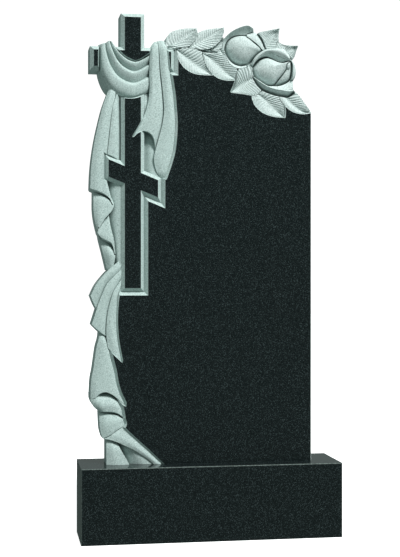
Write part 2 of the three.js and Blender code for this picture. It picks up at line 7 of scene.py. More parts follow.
import bmesh
import bpy
import numpy as np
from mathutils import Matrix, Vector


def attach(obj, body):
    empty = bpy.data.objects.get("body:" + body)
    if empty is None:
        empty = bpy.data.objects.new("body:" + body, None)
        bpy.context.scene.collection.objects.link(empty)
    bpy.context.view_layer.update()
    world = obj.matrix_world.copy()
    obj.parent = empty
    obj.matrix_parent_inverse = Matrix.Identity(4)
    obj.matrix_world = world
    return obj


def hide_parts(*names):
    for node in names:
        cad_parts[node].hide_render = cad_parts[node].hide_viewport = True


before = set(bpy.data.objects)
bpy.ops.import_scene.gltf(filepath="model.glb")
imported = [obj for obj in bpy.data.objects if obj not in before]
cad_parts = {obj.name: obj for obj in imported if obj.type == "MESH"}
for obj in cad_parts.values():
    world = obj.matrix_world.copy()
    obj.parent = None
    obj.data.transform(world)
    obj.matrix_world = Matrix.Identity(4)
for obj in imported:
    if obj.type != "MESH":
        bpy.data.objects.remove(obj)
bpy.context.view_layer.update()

# The stone: its polished face, its back and its foot on the plinth, its outline, and its bevels.
FACE, BACK, FOOT = -40.0, 40.0, 200.3
FOOT_WIDTH, STONE_HEIGHT, SHOULDER = 555.0, 1200.0, 945.0
BEVEL, ARRIS = 10.0, 1.0
# Depths of the ground behind the carving, of the lines cut round it, and of every cutter.
GROUND, LINE_DEPTH, CUT_DEPTH = 30.0, 5.0, 60.0
# How far solids reach into each other, and how far a cutter reaches past what it cuts.
OVERLAP, CLEARANCE = 0.5, 1.0
# Widths of the grooves beside polished faces, and their share at the left, where they are slimmer.
CLOTH_GROOVE, NARROW_GROOVE, SWAG_GROOVE, LEAF_GROOVE, CROSS_GROOVE = 7.0, 3.5, 3.0, 2.5, 10.0
SLIM_SHARE = 0.6
# Widths of the lines cut round carved faces, and of the slope that clears the cloth beside the cross.
CLOTH_LINE, LEAF_LINE, BAR_ROOM = 4.0, 3.5, 6.0
# Sizes of the meshes, and the fewest steps along a sheet, across it and round its lip.
CLOTH_MESH, LEAF_MESH = 3.2, 1.4
LEAST_ALONG, LEAST_ACROSS, LIP_STEPS = 8, 6, 5
# How far a bud's edge lies lower than drawn, as a share of its depth below the crest.
DOME_DEPTH = 0.35
# Leaves: the depth of their tips, the distance of their veins and their lean towards the tip, and the
# height of the teeth at their ends.
LEAF_TIP = 5
VEIN_SPACING, VEIN_LEAN, TOOTH = 7.5, 0.9, 0.9
# Spans and lengths below these count as nothing.
NO_SPAN, NO_LENGTH = 1e-4, 1e-6

# Curves and nets


def placed(stations):
    """Points of the carving in the stone's place."""
    points = np.array([tuple(station) + (0,) * (3 - len(station)) for station in stations], float)
    return np.stack([points[:, 0], FACE + points[:, 2], FOOT + points[:, 1]], -1)


def smooth_through(points, spots, ring=False):
    """A smooth curve through points, or several at once, read at spots from 0 to 1."""
    count = len(points)
    whole = spots * (count if ring else count - 1)
    start = np.floor(whole).astype(int)
    if not ring:
        start = np.minimum(start, count - 2)
    share = whole - start
    if ring:
        corners = [points[(start + k) % count] for k in (-1, 0, 1, 2)]
    else:
        longer = np.concatenate([[2 * points[0] - points[1]], points, [2 * points[-1] - points[-2]]])
        corners = [longer[start + k] for k in (0, 1, 2, 3)]
    spans = [np.linalg.norm(b - a, axis=-1, keepdims=True) ** 0.5 for a, b in zip(corners, corners[1:])]
    middle = np.where(spans[1] < NO_SPAN, 1.0, spans[1])
    before = np.where(spans[0] < NO_SPAN, middle, spans[0])
    after = np.where(spans[2] < NO_SPAN, middle, spans[2])
    a, b, c, d = corners
    leave = ((b - a) / before - (c - a) / (before + middle) + (c - b) / middle) * middle
    arrive = ((c - b) / middle - (d - b) / (middle + after) + (d - c) / after) * middle
    t = share.reshape((-1,) + (1,) * (points.ndim - 1))
    return (b + leave * t + (3 * (c - b) - 2 * leave - arrive) * t ** 2
            + (2 * (b - c) + leave + arrive) * t ** 3)


def swell(share, crest):
    """The swell of a fold from one crease to the next."""
    return np.where(share < crest, np.sin(np.pi / 2 * share / crest),
                    np.cos(np.pi / 2 * (share - crest) / (1 - crest)))


def walls(ring, after):
    """Faces between a ring of points and the ring after it, or between several pairs of rings."""
    corners = [ring, after, np.roll(after, -1, axis=-1), np.roll(ring, -1, axis=-1)]
    return np.stack(corners, -1).reshape(-1, 4).tolist()


class Face:
    """A carved face with the rim around it, turned to the front."""

    def __init__(self, points, faces, rim):
        self.points, self.faces, self.rim = points, faces, np.array(rim)
        x, z = points[self.rim, 0], points[self.rim, 2]
        if (x * np.roll(z, -1) - np.roll(x, -1) * z).sum() < 0:
            self.faces = [face[::-1] for face in faces]
            self.rim = self.rim[::-1]

    def outward(self, mitre):
        """Directions out of the rim. With mitre, a step along them keeps the same distance from its edges
        all round."""
        edge = np.roll(self.points[self.rim], -1, axis=0) - self.points[self.rim]
        normal = np.stack([edge[:, 2], np.zeros(len(edge)), -edge[:, 0]], -1)
        normal /= np.linalg.norm(normal, axis=1, keepdims=True)
        before = np.roll(normal, 1, axis=0)
        total = before + normal
        total /= np.maximum(np.linalg.norm(total, axis=1, keepdims=True), NO_LENGTH)
        if mitre:
            total /= (total * before).sum(1, keepdims=True)
        return total

    def carried_back(self, steps, mitre=False):
        """A closed solid: the rim goes back by steps to a flat back. A step is its distance out of the rim
        and its place from front to back, as one number or one for each point."""
        start = self.points[self.rim]
        outward = self.outward(mitre)
        points, faces, ring = [self.points], list(self.faces), self.rim
        count = len(self.points)
        for out, depth in steps:
            row = start + out * outward
            row[:, 1] = depth
            points.append(row)
            after = np.arange(count, count + len(row))
            faces += walls(ring, after)
            ring, count = after, count + len(row)
        faces.append(ring[::-1].tolist())
        return solid(np.concatenate(points), faces)

    def relief(self):
        """The carving stands on its face and runs straight back through the stone."""
        below = self.points[self.rim][:, 1] + OVERLAP
        return self.carried_back([(OVERLAP, below), (OVERLAP, BACK + CLEARANCE)])

    def cutter(self, reach, depth, mitre=False):
        """What clears the stone in front of the rim: its walls slope in from their reach at the polished
        face to the rim at a depth, and go straight back from there."""
        rim = self.points[self.rim]
        rows = [rim + reach * self.outward(mitre), rim.copy(), rim.copy()]
        for row, deep in zip(rows, (FACE - CLEARANCE, depth, FACE + CUT_DEPTH)):
            row[:, 1] = deep
        front, middle, back = np.arange(3 * len(rim)).reshape(3, -1)
        faces = [front.tolist(), *walls(front, middle), *walls(middle, back), back[::-1].tolist()]
        return solid(np.concatenate(rows), faces)

    def groove(self, width):
        """The bevel from a polished face down to the carving, widest to the right of it."""
        side = np.clip(SLIM_SHARE + self.outward(mitre=False)[:, :1], SLIM_SHARE, 1)
        return self.cutter(side * (width + CLEARANCE), FACE + width)

    def cut_line(self, width):
        """The line that is cut round the carving into what lies behind it."""
        return self.cutter(width, self.points[self.rim][:, 1] + LINE_DEPTH)


def solid(points, faces):
    """A closed mesh object, in metres."""
    mesh = bpy.data.meshes.new("cutting")
    mesh.from_pydata((points / 1000).tolist(), [], faces)
    work = bmesh.new()
    work.from_mesh(mesh)
    bmesh.ops.triangulate(work, faces=[face for face in work.faces if len(face.verts) > 4])
    work.to_mesh(mesh)
    work.free()
    made = bpy.data.objects.new("cutting", mesh)
    bpy.context.scene.collection.objects.link(made)
    return made


def net(rows):
    """A face from rows of points. Points that meet become one."""
    high, wide = rows.shape[:2]
    points, index = np.unique(np.round(rows.reshape(-1, 3), 3), axis=0, return_inverse=True)
    index = index.reshape(high, wide)
    quads = np.stack([index[:-1, :-1], index[:-1, 1:], index[1:, 1:], index[1:, :-1]], -1).reshape(-1, 4)
    faces = [list(dict.fromkeys(quad)) for quad in quads.tolist()]
    around = np.concatenate([index[0], index[1:, -1], index[-1, -2::-1], index[-2:0:-1, 0]])
    return Face(points, [face for face in faces if len(face) > 2], around[around != np.roll(around, -1)])


def sheet(rails, folds=(), lip=(), mesh=CLOTH_MESH, veins=None):
    """Cloth or leaf between rails. Each rail is a smooth curve through its stations, and a pair of rails
    may hold a fold, which swells out by its rise and has its crest at a share of the way across. A lip
    curls the end of the sheet under: how far across, up and deep, from the first rail to the last."""
    count = max(len(rail) for rail in rails)
    stations = [placed(rail) for rail in rails]
    stations = np.stack([rail if len(rail) == count else smooth_through(rail, np.linspace(0, 1, count))
                         for rail in stations], 1)
    length = np.linalg.norm(np.diff(stations, axis=0), axis=-1).sum(0).max()
    width = np.linalg.norm(np.diff(stations, axis=1), axis=-1).max(0)
    along = np.linspace(0, 1, max(LEAST_ALONG, round(length / mesh)) + 1)
    fine = max(LEAST_ACROSS, round(width.max() / mesh))
    across = np.linspace(0, 1, (len(rails) - 1) * fine + 1)
    curves = smooth_through(stations, along)
    rows = smooth_through(curves.swapaxes(0, 1), across).swapaxes(0, 1)
    for band, (rise, crest) in enumerate(folds):
        part = slice(band * fine, (band + 1) * fine + 1)
        room = np.linalg.norm(curves[:, band + 1] - curves[:, band], axis=1) / 2
        shape = swell(np.linspace(0, 1, fine + 1), crest)
        rows[:, part, 1] -= np.minimum(rise, room)[:, None] * shape[None]
    if veins:
        rows = veins(rows, along, across, length)
    if lip:
        spots = np.linspace(0, len(lip) - 1, rows.shape[1])
        offset = np.stack([np.interp(spots, range(len(lip)), [step[k] for step in lip])
                           for k in (0, 2, 1)], -1)
        turns = np.sin(np.linspace(0, np.pi / 2, LIP_STEPS + 1))[1:, None, None]
        rows = np.concatenate([rows, rows[-1] + turns * offset[None]])
    return net(rows)


def dome(outline, crest, sides=88, rings=18):
    """A rounded body such as a bud: a closed outline with a dome that rises to its crest."""
    edge = smooth_through(placed(outline), np.arange(sides) / sides, ring=True)
    top = placed([crest])[0]
    edge[:, 1] += DOME_DEPTH * (edge[:, 1] - top[1])
    turn = np.linspace(0, np.pi / 2, rings + 1)[1:, None, None]
    rows = top + np.sin(turn) * (edge - top)
    rows[..., 1] = edge[:, 1] + (top[1] - edge[:, 1]) * np.cos(turn[..., 0])
    points = np.concatenate([[top], rows.reshape(-1, 3)])
    ring = 1 + np.arange(rings * sides).reshape(rings, sides)
    faces = [[0, a, b] for a, b in zip(ring[0].tolist(), np.roll(ring[0], -1).tolist())]
    return Face(points, faces + walls(ring[:-1], ring[1:]), ring[-1])


def panel(corners, deep=0.0):
    """A flat face with straight edges."""
    points = placed([(across, up, deep) for across, up in corners])
    return Face(points, [list(range(len(points)))], range(len(points)))


def block(corners, bevel):
    """A block with a flat polished face and a bevel all round it."""
    return panel(corners).carried_back([(bevel, FACE + bevel), (bevel, BACK + CLEARANCE)], mitre=True)


def bar(middle, height, length, thickness, slope=0.0):
    """The corners of a bar with upright ends, which falls to the right by its slope."""
    drop = math.tan(math.radians(slope)) * length / 2
    left, right, half = middle - length / 2, middle + length / 2, thickness / 2
    return [(left, height + drop - half), (right, height - drop - half),
            (right, height - drop + half), (left, height + drop + half)]


POST = bar(-209.5, 829.7, 43.0, 720.6)
ARM = bar(-210.0, 1079.0, 206.0, 43.5)
FOOT_BAR = bar(-208.0, 761.0, 132.0, 46.0, 22.2)

# The cloth


def swag():
    """The middle of the cloth, which hangs in three folds from the arm of the cross."""
    return sheet([
        [[-263, 1123, 15], [-251, 1105, 9], [-239, 1091, 8], [-222, 1079, 8], [-200, 1074, 8],
         [-152, 1103, 20]],
        [[-270, 1127, 17], [-262, 1102, 10], [-249, 1076, 9], [-231, 1058, 9], [-204, 1048, 9],
         [-152, 1078, 21]],
        [[-281, 1121, 17], [-278, 1095, 11], [-265, 1058, 10], [-244, 1031, 10], [-207, 1017, 10],
         [-152, 1046, 22]],
        [[-295, 1117, 18], [-296, 1088, 11], [-290, 1044, 9], [-262, 997, 11], [-209, 978, 10],
         [-152, 1003, 20]],
        [[-299, 1116, 22], [-300, 1086, 22], [-297, 1036, 28], [-272, 990, 28], [-212, 975, 12],
         [-152, 1000, 22]],
    ], folds=[(9, 0.26), (9, 0.26), (8, 0.22), (0, 0.5)])


def right_fall():
    """The end of the cloth that hangs to the right of the post, with its hem curled up over the post."""
    return [
        sheet([
            [[-161, 1112, 14], [-163, 1094, 7], [-164, 1040, 6], [-164, 990, 6], [-173, 944, 6],
             [-187, 912, 5], [-210, 872, 4]],
            [[-155, 1122, 13], [-156, 1100, 3], [-157, 1045, 2], [-157, 990, 2], [-164, 944, 2],
             [-177, 912, 2], [-195, 885, 3]],
            [[-150, 1127, 13], [-150, 1106, 3], [-150, 1048, 3], [-150, 990, 3], [-154, 944, 2],
             [-164, 912, 2], [-179, 888, 3]],
            [[-146, 1128, 14], [-145, 1110, 4], [-143, 1050, 4], [-141, 990, 4], [-143, 944, 3],
             [-150, 912, 3], [-162, 882, 3]],
            [[-143, 1129, 14], [-141, 1111, 6], [-138, 1050, 6], [-133, 990, 6], [-133, 944, 5],
             [-139, 905, 4], [-152, 866, 4]],
            [[-140, 1130, 16], [-137, 1112, 13], [-132, 1050, 14], [-124, 990, 14], [-121, 945, 14],
             [-128, 895, 13], [-148, 832, 12]],
        ]),
        sheet([
            [[-141, 1130, 13], [-139, 1112, 5], [-135, 1055, 4], [-128, 990, 4], [-125, 945, 4],
             [-129, 909, 4], [-139, 870, 4], [-148, 836, 4], [-152, 816, 4], [-149, 793, 5], [-143, 776, 6],
             [-135, 766, 9]],
            [[-130, 1131, 12], [-128, 1113, 2], [-123, 1055, 1], [-116, 990, 1], [-111, 945, 1],
             [-112, 909, 1], [-118, 870, 1], [-124, 836, 1], [-128, 816, 1], [-130, 793, 2], [-130, 776, 4],
             [-129, 764, 9]],
            [[-119, 1127, 14], [-117, 1110, 6], [-111, 1050, 5], [-102, 990, 5], [-98, 945, 5],
             [-96, 909, 5], [-98, 870, 5], [-102, 836, 5], [-107, 816, 5], [-114, 793, 5], [-120, 776, 6],
             [-124, 764, 9]],
        ]),
    ]


def right_lining():
    """The far layers of the cloth: beside the post under the swag, and in the hollow of the curled hem."""
    return [sheet([
        [[-186, 1012, 29], [-186, 990, 20], [-186, 966, 12], [-188, 916, 14]],
        [[-150, 1012, 29], [-153, 990, 22], [-156, 966, 13], [-166, 916, 15]],
    ]), sheet([
        [[-184, 897, 29], [-184, 850, 28], [-183, 800, 25], [-182, 750, 20]],
        [[-173, 897, 29], [-173, 850, 26], [-172, 800, 21], [-170, 750, 16]],
        [[-161, 895, 29], [-160, 850, 19], [-158, 800, 12], [-153, 750, 9]],
        [[-143, 885, 28], [-143, 845, 15], [-141, 800, 9], [-133, 750, 9]],
    ])]


def left_side():
    """The end of the cloth down the left side, from the back: the far strip, the turns of its edge below
    the foot bar, the long fall and the strip beside the post."""
    return [
        sheet([
            [[-284, 775, 28], [-276, 660, 28], [-264, 560, 26], [-258, 530, 24]],
            [[-258, 775, 14], [-256, 660, 13], [-251, 560, 12], [-249, 530, 12]],
            [[-241, 770, 8], [-241, 660, 8], [-241, 560, 8], [-241, 530, 8]],
        ]),
        sheet([
            [[-301, 622, 26], [-297, 600, 22], [-288, 564, 15], [-277, 518, 15]],
            [[-286, 616, 28], [-281, 597, 20], [-273, 565, 7], [-267, 518, 9]],
            [[-260, 604, 28], [-257, 580, 18], [-256, 556, 6], [-263, 516, 9]],
        ]),
        sheet([
            [[-276, 664, 14], [-290, 646, 10], [-300, 629, 8], [-302, 616, 6], [-292, 603, 5]],
            [[-275, 664, 13], [-283, 646, 9], [-289, 628, 6], [-289, 611, 4], [-280, 597, 4]],
            [[-274, 664, 12], [-277, 646, 8], [-276, 626, 5], [-272, 606, 4], [-266, 589, 4]],
            [[-273, 664, 12], [-270, 642, 8], [-265, 619, 6], [-259, 594, 5], [-257, 560, 6]],
        ], lip=[[2, -4, 10], [3, -6, 14], [3, -6, 12], [0, -2, 4]]),
        sheet([
            [[-313, 740, 24], [-313, 710, 14], [-313, 680, 11], [-310, 652, 10], [-303, 620, 9]],
            [[-297, 736, 22], [-296, 708, 8], [-298, 682, 5], [-301, 655, 5], [-302, 628, 6]],
            [[-278, 726, 20], [-276, 702, 6], [-280, 680, 4], [-292, 655, 3], [-300, 632, 5]],
            [[-263, 706, 16], [-260, 690, 6], [-264, 677, 4], [-284, 653, 3], [-298, 629, 5]],
        ]),
        sheet([
            [[-262, 1030, 26], [-275, 990, 16], [-288, 953, 9], [-300, 906, 8], [-309, 864, 8],
             [-316, 820, 8], [-320, 780, 8], [-322, 734, 8]],
            [[-258, 1030, 24], [-268, 990, 10], [-279, 953, 4], [-289, 906, 3], [-297, 864, 3],
             [-303, 820, 3], [-306, 780, 3], [-305, 728, 3]],
            [[-254, 1030, 24], [-261, 990, 10], [-269, 953, 5], [-277, 906, 4], [-283, 864, 4],
             [-290, 820, 3], [-294, 780, 3], [-286, 720, 3]],
            [[-250, 1030, 25], [-254, 990, 11], [-260, 953, 8], [-267, 906, 8], [-272, 864, 8],
             [-280, 820, 6], [-285, 775, 4], [-272, 709, 3]],
            [[-246, 1030, 26], [-248, 990, 17], [-254, 953, 15], [-261, 906, 15], [-266, 864, 15],
             [-274, 820, 13], [-281, 775, 9], [-263, 692, 5]],
        ], lip=[[2, -4, 11], [3, -6, 14], [3, -6, 14], [3, -5, 11], [0, -1, 3]]),
        sheet([
            [[-252, 1030, 26], [-254, 980, 12], [-261, 953, 5], [-267, 909, 4], [-272, 864, 4],
             [-279, 800, 6]],
            [[-249, 1030, 24], [-251, 978, 10], [-255, 945, 4], [-259, 909, 3], [-262, 864, 3],
             [-266, 800, 6]],
            [[-246, 1030, 26], [-247, 975, 14], [-248, 945, 9], [-248, 909, 8], [-248, 864, 8],
             [-248, 795, 10]],
            [[-240, 1030, 28], [-240, 967, 22], [-240, 915, 22], [-240, 850, 22], [-240, 795, 22]],
        ]),
    ]


def fan():
    """The middle of the cloth, which fans out from the foot of the post in three folds."""
    return [
        sheet([
            [[-240, 545, 12], [-259, 530, 6], [-275, 516, 4], [-306, 479, 3], [-321, 449, 4]],
            [[-240, 530, 9], [-259, 512, 4], [-278, 496, 3], [-299, 462, 3], [-314, 431, 4]],
            [[-240, 505, 16], [-255, 487, 14], [-272, 469, 14], [-286, 440, 14], [-303, 409, 11]],
        ], lip=[[1, -2, 9], [2, -4, 12], [3, -4, 10]]),
        sheet([
            [[-240, 519, 9], [-260, 500, 4], [-278, 480, 3], [-292, 449, 3], [-300, 429, 3], [-308, 404, 3],
             [-318, 373, 4]],
            [[-240, 503, 7], [-258, 480, 3], [-273, 456, 2], [-283, 425, 2], [-288, 398, 2], [-293, 375, 2],
             [-299, 356, 3]],
            [[-240, 480, 16], [-253, 451, 14], [-263, 427, 13], [-269, 400, 13], [-271, 372, 13],
             [-273, 350, 12], [-275, 338, 10]],
        ], lip=[[2, -3, 9], [3, -6, 12], [2, -4, 10]]),
        sheet([
            [[-240, 491, 8], [-260, 460, 4], [-269, 432, 3], [-276, 402, 3], [-279, 373, 3], [-279, 340, 4],
             [-275, 311, 4]],
            [[-240, 482, 7], [-253, 450, 2], [-261, 425, 1], [-266, 395, 1], [-267, 367, 1], [-264, 330, 1],
             [-257, 292, 3]],
            [[-241, 473, 8], [-249, 443, 6], [-252, 405, 5], [-252, 365, 5], [-248, 325, 5], [-238, 274, 5]],
        ]),
    ]


def lower_fall():
    """The lower cloth, from the back: a cuff, a rounded roll and the long fold that curls down into it."""
    return [
        sheet([
            [[-298, 152, 24], [-297, 118, 13], [-295, 90, 10], [-290, 71, 8]],
            [[-286, 152, 20], [-284, 118, 7], [-279, 92, 4], [-271, 79, 4]],
            [[-262, 150, 20], [-262, 118, 4], [-258, 102, 3], [-253, 92, 4]],
            [[-241, 142, 16], [-235, 120, 7], [-232, 110, 7], [-235, 102, 6]],
        ]),
        sheet([
            [[-322, 188, 9], [-321, 172, 8], [-313, 156, 9], [-299, 143, 10]],
            [[-308, 188, 7], [-305, 172, 4], [-298, 157, 3], [-286, 142, 5]],
            [[-290, 196, 24], [-286, 178, 9], [-279, 160, 2], [-269, 142, 4]],
            [[-270, 194, 24], [-266, 178, 10], [-259, 162, 3], [-251, 138, 5]],
            [[-255, 184, 22], [-248, 169, 11], [-241, 154, 8], [-236, 128, 7]],
        ], lip=[[1, -2, 8], [1, -4, 12], [0, -5, 14], [0, -5, 12], [0, -4, 8]]),
        sheet([
            [[-296, 365, 22], [-299, 335, 10], [-305, 313, 8], [-314, 253, 7], [-319, 226, 7],
             [-321, 195, 8], [-321, 176, 9]],
            [[-291, 362, 20], [-292, 333, 6], [-295, 310, 4], [-301, 253, 3], [-306, 226, 3],
             [-309, 200, 3], [-309, 179, 4]],
            [[-286, 358, 20], [-286, 331, 5], [-287, 308, 3], [-290, 253, 2], [-294, 226, 2],
             [-297, 206, 2], [-297, 190, 2]],
            [[-282, 352, 20], [-280, 326, 6], [-278, 300, 4], [-275, 253, 3], [-276, 226, 2],
             [-280, 206, 2], [-281, 194, 2]],
            [[-280, 348, 20], [-276, 320, 8], [-272, 295, 6], [-264, 253, 5], [-262, 226, 4],
             [-262, 204, 3], [-264, 187, 3]],
            [[-278, 345, 20], [-273, 316, 9], [-269, 290, 8], [-259, 250, 7], [-254, 220, 6],
             [-246, 192, 5], [-231, 160, 5]],
        ]),
    ]


def foot_fall():
    """The foot of the cloth, from the back: two panels and the fold that spreads to the right over them."""
    return [
        sheet([
            [[-258, 64, 28], [-243, 42, 24], [-230, 20, 24], [-217, -5, 24]],
            [[-238, 60, 22], [-220, 42, 11], [-201, 24, 9], [-182, -5, 8]],
            [[-222, 54, 18], [-198, 40, 8], [-176, 25, 6], [-146, -5, 6]],
        ]),
        sheet([
            [[-279, 74, 18], [-279, 45, 10], [-279, 20, 9], [-279, -5, 9]],
            [[-268, 72, 16], [-264, 45, 5], [-258, 20, 3], [-251, -5, 2]],
            [[-253, 64, 16], [-242, 41, 6], [-230, 20, 5], [-216, -5, 5]],
        ]),
        sheet([
            [[-287, 70, 9], [-266, 66, 4], [-247, 59, 3], [-230, 51, 3], [-208, 40, 3], [-189, 28, 3],
             [-169, 14, 3], [-147, -5, 3]],
            [[-270, 84, 9], [-255, 78, 3], [-238, 70, 2], [-218, 58, 1], [-197, 44, 1], [-178, 30, 1],
             [-158, 14, 1], [-136, -5, 2]],
            [[-238, 105, 9], [-230, 95, 6], [-215, 80, 5], [-201, 67, 5], [-186, 53, 5], [-168, 37, 5],
             [-152, 21, 5], [-124, -5, 5]],
        ]),
    ]


# Leaves and buds


def leaf_veins(depths):
    """Veins that run from the rib towards the edge and the tip, and small teeth where they meet the edge.
    Depths are those of the veins on either half."""

    def cut(rows, along, across, length):
        half = 2 * across - 1
        reach = np.abs(half)[None]
        width = np.linalg.norm(rows[:, -1] - rows[:, 0], axis=1)[:, None] / 2
        phase = (along[:, None] * length - VEIN_LEAN * reach * width) / VEIN_SPACING
        # The veins fade out at the rib, at the tip and where the leaf is narrow.
        taper = np.minimum(1, 6 * reach) * np.minimum(1, 8 * (1 - along[:, None]))
        taper = taper * np.minimum(1, width / 5)
        depth = np.where(half < 0, depths[0], depths[1])[None]
        rows[..., 1] += depth * taper * (1 - np.abs(np.sin(np.pi * phase)))
        # The teeth stand on the outer quarter of the leaf.
        edge = np.clip(4 * reach - 3, 0, 1) * np.minimum(1, width / 8) * np.sin(np.pi * along)[:, None]
        tooth = TOOTH * (phase % 1 - 0.5) * edge * np.sign(half)[None]
        side = rows[:, -1] - rows[:, 0]
        side /= np.maximum(np.linalg.norm(side, axis=1, keepdims=True), NO_LENGTH)
        return rows + tooth[..., None] * side[:, None]

    return cut


def leaf(base, tip, one_edge, rib, other_edge, veins, edges=(4, 4), rib_depth=9, rise=3):
    """A leaf from base to tip: its two edges, and its rib, which lies lower than they do. Veins and edges
    give the depths on either half, and each half swells out by its rise."""

    def rail(stations, deep):
        return [[*base, rib_depth], *([*station, deep] for station in stations), [*tip, LEAF_TIP]]

    return sheet([rail(one_edge, edges[0]), rail(rib, rib_depth), rail(other_edge, edges[1])],
                 folds=[(rise, 0.5), (rise, 0.5)], mesh=LEAF_MESH, veins=leaf_veins(veins))


def lower_leaves():
    """The leaves that border on the polished face, from the back."""
    return [
        leaf([-93, 1110], [4, 1042], [[-88, 1086], [-72, 1061], [-47, 1046], [-20, 1042]],
             [[-74, 1094], [-50, 1076], [-25, 1059], [-10, 1050]],
             [[-70, 1112], [-40, 1110], [-14, 1096], [2, 1068]], veins=(1.2, 2.7)),
        leaf([-21, 1100], [72, 1031], [[-15, 1076], [-1, 1052], [22, 1034], [47, 1029]],
             [[-2, 1089], [16, 1073], [34, 1057], [52, 1042]],
             [[10, 1101], [38, 1096], [62, 1078], [74, 1054]], veins=(1.2, 2.7)),
        leaf([131, 996], [204, 932], [[115, 990], [121, 965], [144, 944], [176, 934]],
             [[150, 980], [163, 967], [178, 953], [192, 941]],
             [[152, 1004], [186, 998], [200, 976], [205, 952]], veins=(1.2, 2.7)),
        leaf([196, 1003], [278, 947], [[191, 986], [205, 965], [226, 949], [252, 943]],
             [[208, 987], [226, 969], [243, 956], [260, 948]],
             [[224, 1008], [247, 990], [262, 970], [273, 956]], veins=(1.2, 2.4)),
        leaf([121, 1040], [55, 997], [[116, 1062], [97, 1075], [75, 1054], [67, 1026]],
             [[106, 1029], [92, 1020], [78, 1011], [66, 1003]],
             [[135, 1028], [141, 1008], [126, 992], [84, 994]], veins=(2.6, 1.2)),
    ]


def upper_leaves():
    """The leaves that stand clear along the top, from the back."""
    return [
        leaf([150, 1108], [191, 1174], [[136, 1128], [130, 1157], [158, 1167]],
             [[158, 1128], [169, 1146], [180, 1161]], [[178, 1112], [189, 1132], [189, 1155]],
             edges=(9, 9), rib_depth=13, veins=(1.4, 1.8)),
        leaf([198, 1098], [243, 1128], [[184, 1118], [186, 1137], [203, 1131], [224, 1129]],
             [[208, 1106], [218, 1113], [228, 1119], [236, 1124]], [[216, 1088], [230, 1092], [237, 1111]],
             edges=(10, 10), rib_depth=14, veins=(1.4, 2.0)),
        leaf([2, 1108], [36, 1144], [[4, 1122], [12, 1136], [24, 1143]],
             [[13, 1118], [21, 1127], [29, 1136]], [[24, 1108], [37, 1116], [39, 1130]],
             edges=(10, 8), rib_depth=12, veins=(1.2, 1.6)),
        leaf([28, 1112], [44, 1080], [[22, 1108], [20, 1096], [26, 1084]],
             [[33, 1104], [36, 1096], [40, 1088]], [[42, 1114], [50, 1100], [50, 1088]],
             edges=(8, 8), rib_depth=11, veins=(1.6, 1.4)),
        leaf([-60, 1112], [38, 1171], [[-51, 1130], [-35, 1152], [-14, 1163], [14, 1168]],
             [[-38, 1124], [-16, 1136], [4, 1148], [22, 1160]],
             [[-36, 1110], [0, 1114], [26, 1134], [36, 1155]],
             edges=(8, 3), rib_depth=8, veins=(1.6, 2.0), rise=2),
        leaf([-119, 1109], [-37, 1166], [[-120, 1130], [-108, 1152], [-80, 1163], [-56, 1166]],
             [[-98, 1122], [-80, 1133], [-64, 1144], [-50, 1155]],
             [[-94, 1108], [-62, 1115], [-42, 1134], [-35, 1150]],
             edges=(8, 3), rib_depth=8, veins=(1.6, 2.0), rise=2),
    ]


def stems():
    """The stem under the upper leaves and the two twigs that run from it to the first bud."""
    return [
        sheet([
            [[-114, 1115, 20], [-70, 1117, 18], [-15, 1116, 18], [45, 1106, 20]],
            [[-114, 1110, 20], [-70, 1108, 18], [-15, 1106, 18], [45, 1092, 20]],
        ], folds=[(5, 0.5)]),
        sheet([
            [[-40, 1108, 14], [-4, 1103, 12], [30, 1098, 13]],
            [[-36, 1101, 14], [-6, 1094, 12], [28, 1089, 13]],
        ], folds=[(5, 0.5)], mesh=LEAF_MESH),
        sheet([
            [[-12, 1113, 13], [12, 1110, 11], [32, 1105, 12]],
            [[-12, 1107, 13], [10, 1104, 11], [30, 1099, 12]],
        ], folds=[(4, 0.5)], mesh=LEAF_MESH),
    ]


def first_bud():
    """The first bud, from the back: its outer petal, the cup under it, its body and the petal beside it."""
    return [
        sheet([
            [[34, 1112, 12], [38, 1138, 9], [54, 1157, 6], [78, 1171, 4], [104, 1178, 4], [118, 1171, 6]],
            [[48, 1110, 26], [54, 1136, 25], [66, 1148, 23], [84, 1150, 22], [106, 1152, 20],
             [122, 1160, 14]],
        ], folds=[(-3, 0.5)]),
        sheet([
            [[42, 1102, 14], [56, 1074, 9], [77, 1063, 9], [102, 1068, 12]],
            [[54, 1106, 26], [66, 1084, 26], [80, 1078, 26], [98, 1080, 26]],
        ]),
        dome([[149, 1116, 20], [128, 1139, 20], [102, 1153, 20], [73, 1152, 22], [52, 1140, 24],
              [42, 1114, 28], [51, 1092, 28], [66, 1078, 28], [84, 1072, 28], [102, 1075, 28],
              [118, 1086, 26], [136, 1102, 24]],
             [90, 1122, 0.5]),
        sheet([
            [[104, 1158, 20], [124, 1163, 18], [139, 1150, 18], [155, 1118, 20]],
            [[102, 1150, 9], [120, 1137, 6], [134, 1126, 7], [148, 1112, 14]],
        ], folds=[(3, 0.5)]),
    ]


